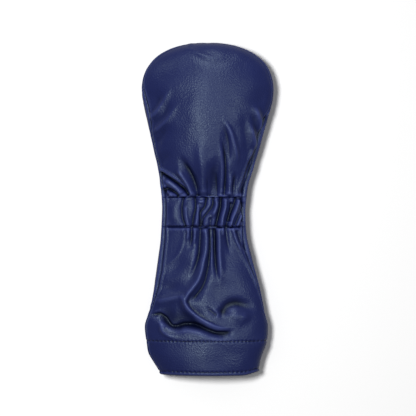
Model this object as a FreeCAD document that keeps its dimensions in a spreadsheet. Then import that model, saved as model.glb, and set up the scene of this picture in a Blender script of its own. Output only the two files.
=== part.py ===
# Padded leather cover for the head of a golf driver, lying on its front.
# The cover is a pouch: a wide head pocket, a neck drawn in by an elastic band, and a flared
# skirt that ends in a hem. Its length runs along Y with the crown at +Y and the open rim at -Y,
# its back faces +Z, and it lies on the plane Z = 0. Every layer is the space between two skins,
# and a skin is a loft through ellipses, each smaller than the outer one by the skin's inset.
import FreeCAD, Part
import os
from FreeCAD import Placement, Rotation, Vector

doc = FreeCAD.newDocument("driver_cover")

# ---------------------------------------------------------------- driving dimensions, in mm
SIZES = [
    ("crown_run", 48.0),        # widest point of the head to the tip of the crown
    ("head_run", 106.5),        # upper neck row to the widest point of the head
    ("neck_run", 29.5),         # upper neck row to lower neck row
    ("skirt_run", 102.0),       # lower neck row to the widest point of the skirt
    ("hem_run", 46.0),          # widest point of the skirt to the rim
    ("head_width", 132.0),
    ("head_depth", 50.0),       # before the underside flattens on the surface
    ("neck_width", 85.0),
    ("neck_depth", 26.0),
    ("skirt_width", 123.0),
    ("skirt_depth", 40.0),
    ("rim_width", 94.0),
    ("rim_depth", 42.0),
    ("axis_height", 20.0),      # the cover's long axis above the surface that it lies on
    ("neck_lean", -3.5),        # sideways set of the neck, the skirt and the rim
    ("skirt_lean", -1.0),
    ("rim_lean", 2.5),
    ("seam_rise", 5.5),         # side seams above the long axis, towards the back
    ("leather", 1.2),
    ("foam", 3.0),
    ("fleece", 1.8),
    ("elastic", 1.2),
    ("elastic_width", 25.0),
    ("stiffener", 0.5),
    ("tape", 0.6),
    ("tape_width", 10.0),
    ("layer_gap", 0.3),         # clearance between one layer and the next
    ("lining_ease", 0.8),       # clearance between the lining and the layer outside it
    ("foam_start", 26.6),       # upper neck row to the foam's lower edge
    ("hem_height", 34.5),       # rim to the hem's upper stitch row
    ("rim_row", 4.0),           # rim to the hem's lower stitch row
    ("neck_row", 1.5),          # each neck stitch row inside the casing's edge
    ("thread_radius", 0.35),
]

sheet = doc.addObject("Spreadsheet::Sheet", "Sizes")
for row, (alias, value) in enumerate(SIZES, 1):
    sheet.set(f"A{row}", alias)
    sheet.set(f"B{row}", str(value))
    sheet.setAlias(f"B{row}", alias)
doc.recompute()


def cell(alias):
    """The name of a cell as an expression reads it."""
    return f"Sizes.{alias}"


# ---------------------------------------------------------------- places along the cover
LENGTH = " + ".join(cell(a) for a in ("crown_run", "head_run", "neck_run", "skirt_run", "hem_run"))
RIM = f"(0 - ({LENGTH}) / 2)"
SKIRT_WIDEST = f"({RIM} + {cell('hem_run')})"
NECK_LOW = f"({SKIRT_WIDEST} + {cell('skirt_run')})"
NECK_HIGH = f"({NECK_LOW} + {cell('neck_run')})"
HEAD_WIDEST = f"({NECK_HIGH} + {cell('head_run')})"
NECK_HIGH_ROW = f"({NECK_HIGH} - {cell('neck_row')})"
NECK_LOW_ROW = f"({NECK_LOW} + {cell('neck_row')})"
HEM_ROW = f"({RIM} + {cell('hem_height')})"
RIM_ROW = f"({RIM} + {cell('rim_row')})"
SEAM = f"({cell('axis_height')} + {cell('seam_rise')})"

# Insets of the layers below the outer skin.
LEATHER_IN = cell("leather")
SECOND_OUT = f"({LEATHER_IN} + {cell('layer_gap')})"
FOAM_IN = f"({SECOND_OUT} + {cell('foam')})"
HEAD_LINING_OUT = f"({FOAM_IN} + {cell('lining_ease')})"
HEAD_LINING_IN = f"({HEAD_LINING_OUT} + {cell('fleece')})"
ELASTIC_IN = f"({SECOND_OUT} + {cell('elastic')})"
NECK_LINING_OUT = f"({ELASTIC_IN} + {cell('lining_ease')})"
NECK_LINING_IN = f"({NECK_LINING_OUT} + {cell('fleece')})"
TAPE_IN = f"({SECOND_OUT} + {cell('tape')})"
SKIRT_LINING_OUT = f"({TAPE_IN} + {cell('lining_ease')})"
SKIRT_LINING_IN = f"({SKIRT_LINING_OUT} + {cell('fleece')})"
STIFFENER_IN = f"({SECOND_OUT} + {cell('stiffener')})"
FACING_OUT = f"({STIFFENER_IN} + {cell('layer_gap')})"
FACING_IN = f"({FACING_OUT} + {cell('leather')})"

# Shape of the outline between the driving sections.
CROWN_POWER = 2.3               # 2 is an ellipse, more is squarer
CROWN_STEPS = (0.4, 0.65, 0.82, 0.93)
CROWN_TIP = 0.25                # size of the crown's flat tip, as a share of the widest section
RUN_STEPS = (0.25, 0.5, 0.75, 1.0)


def swell(step):
    """How far a section has grown from the neck to the widest point, from 0 to 1."""
    smooth = step * step * (3 - 2 * step)
    return round((step + smooth) / 2, 4)


def crown_share(step):
    return round((1 - step ** CROWN_POWER) ** (1 / CROWN_POWER), 4)


def between(first, last, share):
    return f"({cell(first)} + ({cell(last)} - {cell(first)}) * {share})"


# ---------------------------------------------------------------- sections and skins
def ellipse(name, width, depth, lean, place, inset="0", share=1, first_angle=None, last_angle=None):
    """An upright ellipse across the cover: its full width and depth, less the inset all round."""
    section = doc.addObject("Part::Ellipse", name)
    section.Placement = Placement(Vector(), Rotation(Vector(1, 0, 0), 90))
    section.setExpression("MajorRadius", f"({width} / 2 - {inset}) * {share}")
    section.setExpression("MinorRadius", f"({depth} / 2 - {inset}) * {share}")
    section.setExpression("Placement.Base.x", lean)
    section.setExpression("Placement.Base.y", place)
    section.setExpression("Placement.Base.z", cell("axis_height"))
    if first_angle is not None:
        section.setExpression("Angle1", first_angle)
        section.setExpression("Angle2", last_angle)
    return section


def crown_sections(name, inset):
    crown = f"({cell('crown_run')} - {inset})"
    rounded = [ellipse(f"{name}_crown{n}", cell("head_width"), cell("head_depth"), "0",
                       f"{HEAD_WIDEST} + {crown} * {step}", inset, crown_share(step))
               for n, step in enumerate(CROWN_STEPS, 1)]
    tip = ellipse(f"{name}_tip", cell("head_width"), cell("head_depth"), "0",
                  f"{HEAD_WIDEST} + {crown}", inset, CROWN_TIP)
    return [tip] + rounded[::-1]


def head_sections(name, inset):
    return [ellipse(f"{name}_head{n}", between("neck_width", "head_width", swell(step)),
                    between("neck_depth", "head_depth", swell(step)),
                    f"{cell('neck_lean')} * {round(1 - swell(step), 4)}",
                    f"{NECK_HIGH} + {cell('head_run')} * {step}", inset)
            for n, step in enumerate(RUN_STEPS, 1)][::-1]


def neck_sections(name, inset):
    return [ellipse(f"{name}_neck_{end}", cell("neck_width"), cell("neck_depth"), cell("neck_lean"), place, inset)
            for end, place in (("high", NECK_HIGH), ("low", NECK_LOW))]


def hem_size(which, place):
    """Width, depth or lean of the hem at a place: the width falls off as a parabola."""
    share = f"(({SKIRT_WIDEST} - {place}) / {cell('hem_run')})"
    power = " * " + share if which == "width" else ""
    return f"({cell('skirt_' + which)} + ({cell('rim_' + which)} - {cell('skirt_' + which)}) * {share}{power})"


def skirt_sections(name, inset):
    made = [ellipse(f"{name}_skirt{n}", between("neck_width", "skirt_width", swell(step)),
                    between("neck_depth", "skirt_depth", swell(step)),
                    between("neck_lean", "skirt_lean", swell(step)),
                    f"{NECK_LOW} - {cell('skirt_run')} * {step}", inset)
            for n, step in enumerate(RUN_STEPS, 1)]
    for end, place in (("hem", HEM_ROW), ("row", RIM_ROW), ("rim", RIM)):
        made.append(ellipse(f"{name}_{end}", hem_size("width", place), hem_size("depth", place),
                            hem_size("lean", place), place, inset))
    return made


BIG = 400.0                     # reach of the blocks that split the skins, past the whole cover


def block(name, x=(None, None), y=(None, None), z=(None, None)):
    """A box that keeps what lies between the limits given, and everything where there is none."""
    made = doc.addObject("Part::Box", name)
    for axis, size, (low, high) in (("x", "Length", x), ("y", "Width", y), ("z", "Height", z)):
        low = str(-BIG) if low is None else low
        high = str(BIG) if high is None else high
        made.setExpression(f"Placement.Base.{axis}", low)
        made.setExpression(size, f"({high}) - ({low})")
    return made


def keep(name, base, **limits):
    common = doc.addObject("Part::Common", name)
    common.Base = base
    common.Tool = block(f"{name}_block", **limits)
    return common


skins = {}


def skin(head_inset, neck_inset=None, skirt_inset=None):
    """The solid inside one skin, from the crown to the rim, flattened where it would sink below the surface."""
    key = (head_inset, neck_inset or head_inset, skirt_inset or head_inset)
    if key not in skins:
        name = f"skin{len(skins)}"
        loft = doc.addObject("Part::Loft", f"{name}_loft")
        loft.Sections = (crown_sections(name, key[0]) + head_sections(name, key[0])
                         + neck_sections(name, key[1]) + skirt_sections(name, key[2]))
        loft.Solid = True
        loft.Ruled = False
        room = doc.addObject("Part::Fuse", f"{name}_room")
        room.Base = block(f"{name}_head_room", y=(NECK_HIGH, None), z=(key[0], None))
        room.Tool = block(f"{name}_skirt_room", y=(None, NECK_HIGH), z=(key[2], None))
        skins[key] = doc.addObject("Part::Common", name)
        skins[key].Base = loft
        skins[key].Tool = room
    return skins[key]


def layer(name, outer, inner):
    cut = doc.addObject("Part::Cut", f"{name}_layer")
    cut.Base = outer
    cut.Tool = inner
    return cut


nodes = []


def node(name, made):
    made.Label = name
    nodes.append(made)


def piece(name, base, **limits):
    """One sub-part: what a layer has between the limits given."""
    node(name, keep(name, base, **limits))


# ---------------------------------------------------------------- outer leather
def make_leather():
    leather = layer("leather", skin("0"), skin(LEATHER_IN))
    for zone, along in (("head_{}_panel", (NECK_HIGH, None)), ("neck_{}_casing", (NECK_LOW, NECK_HIGH)),
                        ("skirt_{}_panel", (None, NECK_LOW))):
        piece(zone.format("back"), leather, y=along, z=(SEAM, None))
        piece(zone.format("front"), leather, y=along, z=(None, SEAM))


# ---------------------------------------------------------------- padding, tapes, elastic and linings
def make_inner_layers():
    half_tape = f"{cell('tape_width')} / 2"
    half_channel = f"({half_tape} + {cell('layer_gap')})"
    above_hem = f"{HEM_ROW} + {cell('layer_gap')}"
    margin = f"({cell('neck_run')} - {cell('elastic_width')}) / 2"

    foam = layer("foam", skin(SECOND_OUT), skin(FOAM_IN))
    foam_start = f"{NECK_HIGH} + {cell('foam_start')}"
    piece("head_back_padding", foam, y=(foam_start, None), z=(f"{SEAM} + {half_channel}", None))
    piece("head_front_padding", foam, y=(foam_start, None), z=(None, f"{SEAM} - {half_channel}"))

    tape = layer("tape", skin(SECOND_OUT), skin(TAPE_IN))
    across_seam = (f"{SEAM} - {half_tape}", f"{SEAM} + {half_tape}")
    piece("head_seam_tape", tape, y=(NECK_HIGH, None), z=across_seam)
    piece("skirt_seam_tape", tape, y=(above_hem, NECK_LOW), z=across_seam)

    elastic = layer("elastic", skin(SECOND_OUT), skin(ELASTIC_IN))
    piece("elastic_band", elastic, y=(f"{NECK_LOW} + {margin}", f"{NECK_HIGH} - {margin}"), z=(SEAM, None))

    fleece = layer("fleece", skin(HEAD_LINING_OUT, NECK_LINING_OUT, SKIRT_LINING_OUT),
                   skin(HEAD_LINING_IN, NECK_LINING_IN, SKIRT_LINING_IN))
    upper_half = (cell("axis_height"), None)
    lower_half = (None, cell("axis_height"))
    piece("head_back_lining", fleece, y=(NECK_HIGH, None), z=upper_half)
    piece("head_front_lining", fleece, y=(NECK_HIGH, None), z=lower_half)
    piece("neck_lining", fleece, y=(NECK_LOW, NECK_HIGH))
    piece("skirt_back_lining", fleece, y=(above_hem, NECK_LOW), z=upper_half)
    piece("skirt_front_lining", fleece, y=(above_hem, NECK_LOW), z=lower_half)


def make_hem():
    stiffener = layer("stiffener", skin(SECOND_OUT), skin(STIFFENER_IN))
    piece("hem_stiffener", stiffener, y=(f"{RIM} + {cell('leather')}", HEM_ROW))
    facing = layer("facing", skin(FACING_OUT), skin(FACING_IN))
    piece("hem_facing", facing, y=(None, HEM_ROW))


# ---------------------------------------------------------------- stitch rows
def thread(name, width, depth, lean, place, lowest):
    """One thread on the skin's section at a place, down to the lowest height on both sides."""
    offset = f"({cell('thread_radius')} * 1.5)"
    start = f"asin(max(-1; ({lowest} - {cell('axis_height')}) / ({depth} / 2 + {offset})))"
    path = ellipse(f"{name}_path", width, depth, lean, place, f"(0 - {offset})", 1, start, f"180 deg - {start}")
    path.recompute()
    edge = path.Shape.Edges[0]
    first = edge.FirstParameter
    section = Part.Circle(edge.valueAt(first), edge.tangentAt(first), sheet.thread_radius).toShape()
    made = doc.addObject("Part::Feature", name)
    made.Shape = Part.Wire(edge).makePipeShell([Part.Wire(section)], True, True)
    made.Placement = Placement()
    node(name, made)


def make_threads():
    above_seam = f"({SEAM} + {cell('thread_radius')} * 4)"
    for name, place in (("neck_upper_stitching", NECK_HIGH_ROW), ("neck_lower_stitching", NECK_LOW_ROW)):
        thread(name, cell("neck_width"), cell("neck_depth"), cell("neck_lean"), place, above_seam)
    above_surface = f"({cell('thread_radius')} * 2)"
    for name, place in (("hem_upper_stitching", HEM_ROW), ("hem_lower_stitching", RIM_ROW)):
        thread(name, hem_size("width", place), hem_size("depth", place), hem_size("lean", place), place,
               above_surface)


make_leather()
make_inner_layers()
make_hem()
make_threads()
doc.recompute()

# ---------------------------------------------------------------- checks and files
for made in doc.Objects:
    if "Invalid" in made.State or "Error" in made.State:
        raise RuntimeError(f"{made.Label} failed: {made.State}")
os.makedirs("parts", exist_ok=True)
for made in nodes:
    shape = made.Shape
    if shape.isNull() or not shape.isValid() or not shape.Solids:
        raise RuntimeError(f"{made.Label} has no valid solid")
    shape.exportStep(f"parts/{made.Label}.step")
    box = shape.optimalBoundingBox(False)
    print(f"{made.Label:24s} {len(shape.Solids)} solid(s) {shape.Volume / 1000:8.2f} cm3  "
          f"x {box.XMin:7.2f} {box.XMax:7.2f}  y {box.YMin:7.2f} {box.YMax:7.2f}  z {box.ZMin:6.2f} {box.ZMax:6.2f}")
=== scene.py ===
# Driver head cover: a padded leather pouch lying on its front, with a gathered neck and a flared skirt.
import math
import bmesh
import bpy
import numpy as np
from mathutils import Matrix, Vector


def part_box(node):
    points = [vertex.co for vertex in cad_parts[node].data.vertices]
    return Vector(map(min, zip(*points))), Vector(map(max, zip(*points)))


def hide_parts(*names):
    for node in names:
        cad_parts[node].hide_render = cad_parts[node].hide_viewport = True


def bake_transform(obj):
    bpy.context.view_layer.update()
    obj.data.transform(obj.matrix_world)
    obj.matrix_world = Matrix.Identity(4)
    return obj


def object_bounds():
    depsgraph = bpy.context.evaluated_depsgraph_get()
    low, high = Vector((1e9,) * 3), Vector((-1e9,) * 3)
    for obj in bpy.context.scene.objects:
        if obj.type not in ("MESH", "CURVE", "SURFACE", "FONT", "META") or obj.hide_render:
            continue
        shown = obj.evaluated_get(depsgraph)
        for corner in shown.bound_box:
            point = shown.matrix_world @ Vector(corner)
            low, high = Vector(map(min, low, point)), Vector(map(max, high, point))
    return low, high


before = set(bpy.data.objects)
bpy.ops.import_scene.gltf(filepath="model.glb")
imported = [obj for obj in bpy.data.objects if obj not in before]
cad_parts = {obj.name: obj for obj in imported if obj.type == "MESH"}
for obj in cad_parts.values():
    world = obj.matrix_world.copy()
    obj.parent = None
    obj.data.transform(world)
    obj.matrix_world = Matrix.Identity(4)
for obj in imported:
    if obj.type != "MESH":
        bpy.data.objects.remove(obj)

cadBox = [list(corner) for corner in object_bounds()]
mm = 0.001


def nodeSpan(node, axis):
    low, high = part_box(node)
    return low[axis] / mm, high[axis] / mm


# Places along the cover, in millimetres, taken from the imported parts.
neckLow, neckHigh = nodeSpan("neck_back_casing", 1)
rimPlace, crownPlace = cadBox[0][1] / mm, cadBox[1][1] / mm
hemRow = sum(nodeSpan("hem_upper_stitching", 1)) / 2
rimRow = sum(nodeSpan("hem_lower_stitching", 1)) / 2
upperRow = sum(nodeSpan("neck_upper_stitching", 1)) / 2
lowerRow = sum(nodeSpan("neck_lower_stitching", 1)) / 2
print("frame loaded: neck from %.1f to %.1f mm, hem row at %.1f mm" % (neckLow, neckHigh, hemRow))

cover = {
    # place along the cover, left edge, right edge, height of the back, height of the underside
    "stations": [
        (-166, -46, 50.5, 38, 0), (-160, -49.5, 51.5, 39, 0), (-152, -54.5, 53, 39.7, 0),
        (-145, -58.5, 55, 40, 0), (-134, -60.5, 58.5, 40, 0), (-124, -62, 59.8, 39.5, 0),
        (-115, -62.2, 59.8, 39, 0), (-108, -60, 58, 38.5, 0), (-100, -57.5, 56.2, 38, 0.5),
        (-86, -54.8, 53.5, 37, 1.5), (-68, -52.2, 49.5, 35.5, 3), (-50, -49.5, 45, 34, 4.5),
        (-32, -47.2, 40.5, 33, 6), (-18, -46.2, 38.2, 32.5, 7), (-4, -45.6, 37.9, 32, 7),
        (11.5, -45.8, 39.2, 31.5, 6.5), (28, -47.5, 42, 35.5, 5), (40, -49.5, 46, 38.8, 4),
        (55, -52.8, 50.8, 41.5, 2.5), (72, -56.6, 55.2, 43.4, 1), (88, -60.5, 59.8, 44.5, 0),
        (100, -63, 63, 45, 0), (110, -65, 65.2, 45, 0), (118, -65.8, 65.8, 44.8, 0),
    ],
    "crownFrom": 118.0,         # from here to the tip the outline is a rounded arc
    "crownPower": 2.3,
    "squareness": 0.9,          # of the section: 1 is an ellipse, less is boxier, more is nearer to a roof
    "slackness": (1.25, 1.1),   # the same on the left and right of the back
    "slackBlend": 0.15,         # half the cosine over which the left turns into the right
    "middle": 20.0,             # height of the widest line round the cover
    "underShare": 0.85,         # of the underside's height that is left where it sags
    "headSink": 5.0,            # how far the head presses into what it lies on, before it flattens
    "headSinkFrom": 60.0,       # none of it here, and all of it from the next place on
    "headSinkTo": 95.0,
    "restSoft": 0.7,            # rounding of the edge where the underside flattens
    "restLift": 0.02,           # what that rounding leaves under it
    "rimDrop": 2.9,             # how far the rim's right end lies up the cover
    "rimDropFrom": 32.0,
    "rimDropTo": 52.0,
    "rimDropPower": 1.5,
    # place along the cover, then how far inside the outline the side seam shows, left and right
    "seams": [
        (-166, 0.5, -0.5), (-120, 0.5, -0.5), (-104, 0.6, 0), (-92, 2.2, 0.3), (-80, 3.8, 1.2),
        (-62, 5, 2.6), (-44, 4.2, 5), (-28, 3.8, 4), (-18, 3.6, 2.6), (-4, 3.6, 2.2),
        (11.5, 3.4, 4.4), (20, 2.2, 4.2), (31, 1.2, 2.2), (46, 1.6, 1.4), (60, 1.4, 2.6),
        (72, 1.2, 3), (81, 2.4, 3.8), (89, 3.6, 4.6), (95, 4, 2.4), (100, 4, 0.8),
        (108, 3.6, 0.4), (116, 2.6, 0.5), (126, 0.8, 0.5), (140, 0.5, 0.5), (166, 0.6, 0.4),
    ],
    "grid": 0.8,                # spacing of the visible mesh
    "neckGrid": 0.6,
    "frontCoarser": 1.7,        # the front lies face down, so its mesh is coarser
    "hiddenGrid": 2.4,          # and that of the layers inside coarser still
    "samples": 2000,            # of the outline, for spacing rows evenly along it
    "loopSamples": 400,         # and of the section, for spacing columns round it
}


def smoothThrough(places, values, at):
    # A curve through every value, with no overshoot worth speaking of between close ones.
    places, values, at = np.asarray(places, float), np.asarray(values, float), np.asarray(at, float)
    steps = np.diff(places)
    slopes = np.diff(values) / steps
    lean = np.empty(len(places))
    lean[0], lean[-1] = slopes[0], slopes[-1]
    lean[1:-1] = (slopes[:-1] * steps[1:] + slopes[1:] * steps[:-1]) / (steps[1:] + steps[:-1])
    span = np.clip(np.searchsorted(places, at) - 1, 0, len(places) - 2)
    t = np.clip((at - places[span]) / steps[span], 0, 1)
    a, b = values[span], values[span + 1]
    ma, mb = lean[span] * steps[span], lean[span + 1] * steps[span]
    return ((2 * t**3 - 3 * t**2 + 1) * a + (t**3 - 2 * t**2 + t) * ma
            + (3 * t**2 - 2 * t**3) * b + (t**3 - t**2) * mb)


def smoothStep(low, high, value):
    t = np.clip((np.asarray(value, float) - low) / (high - low), 0, 1)
    return t * t * (3 - 2 * t)


stations = np.array(cover["stations"], float)
seams = np.array(cover["seams"], float)


def crownShare(y):
    reach = np.clip((np.asarray(y, float) - cover["crownFrom"]) / (crownPlace - cover["crownFrom"]), 0, 1)
    power = cover["crownPower"]
    return (1 - reach**power) ** (1 / power)


def section(y):
    # Middle, half width and half heights of the cover at a place.
    onBody = np.minimum(y, cover["crownFrom"])
    left, right, back, front = (smoothThrough(stations[:, 0], stations[:, n], onBody) for n in (1, 2, 3, 4))
    share = crownShare(y)
    middle, sink = cover["middle"], cover["headSink"]
    lifted = smoothStep(cover["headSinkTo"], cover["headSinkFrom"], y)
    depth = middle + sink - front * cover["underShare"] - sink * lifted
    return (left + right) / 2 * share, (right - left) / 2 * share, (back - middle) * share, depth * share


def seamAngles(y):
    # Angle round the section of the right and left side seams; 0 is the outline, 90 degrees the top.
    half = section(y)[1]
    found = []
    for column, slack in ((2, cover["slackness"][1]), (1, cover["slackness"][0])):
        inside = np.interp(np.minimum(y, seams[-1, 0]), seams[:, 0], seams[:, column])
        power = np.where(inside > 0, slack, cover["squareness"])
        cosine = np.clip(1 - np.abs(inside) / np.maximum(half, 1), 0, 1) ** (1 / power)
        found.append(np.sign(inside) * np.arccos(cosine))
    return found[0], math.pi - found[1]


def roundPower(value, power):
    return np.sign(value) * np.abs(value) ** power


def settle(z, low):
    # Nothing sinks into what the cover lies on: the underside flattens there, with a rounded edge.
    return low + 0.5 * (z - low + np.sqrt((z - low) ** 2 + cover["restSoft"] ** 2)) - cover["restLift"]


def cornerPower(angle):
    left, right = cover["slackness"]
    blend = cover["slackBlend"]
    slack = right + (left - right) * (1 - smoothStep(-blend, blend, np.cos(angle)))
    return np.where(np.sin(angle) > 0, slack, cover["squareness"])


def loopPoint(angle, y):
    # Point of the smooth cover at an angle round the section and a place along it.
    centre, half, back, front = section(y)
    k = cornerPower(angle)
    x = centre + half * roundPower(np.cos(angle), k)
    z = cover["middle"] + np.where(np.sin(angle) > 0, back, front) * roundPower(np.sin(angle), k)
    return np.stack([x, y + 0 * angle, z], -1)


def loopNormal(angle, y):
    # Which way the smooth cover faces there, from how its section widens and thickens along the cover.
    half, back, front = section(y)[1:]
    step = 0.5
    nextHalf, nextBack, nextFront = section(np.minimum(y, cover["crownFrom"] - step) + step)[1:]
    share = np.maximum(crownShare(y), 1e-3)
    reach = np.clip((y - cover["crownFrom"]) / (crownPlace - cover["crownFrom"]), 0, 1)
    power = cover["crownPower"]
    closing = reach ** (power - 1) / share ** (power - 1) / (crownPlace - cover["crownFrom"])
    up = np.sin(angle) > 0
    tall, nextTall = np.where(up, back, front), np.where(up, nextBack, nextFront)
    k = cornerPower(angle)
    across, over = np.abs(np.cos(angle)) ** k, np.abs(np.sin(angle)) ** k
    n = 2 / k
    onBody = y < cover["crownFrom"] - step
    widen = np.where(onBody, (nextHalf - half) / step, 0)
    thicken = np.where(onBody, (nextTall - tall) / step, 0)
    x = np.sign(np.cos(angle)) * across ** (n - 1) / (half / share)
    z = np.sign(np.sin(angle)) * over ** (n - 1) / (tall / share)
    lean = -widen * across**n / half * share - thicken * over**n / tall * share + closing
    normal = np.stack([x, lean + 0 * x, z], -1)
    return normal / np.maximum(np.linalg.norm(normal, axis=-1, keepdims=True), 1e-9)


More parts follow.
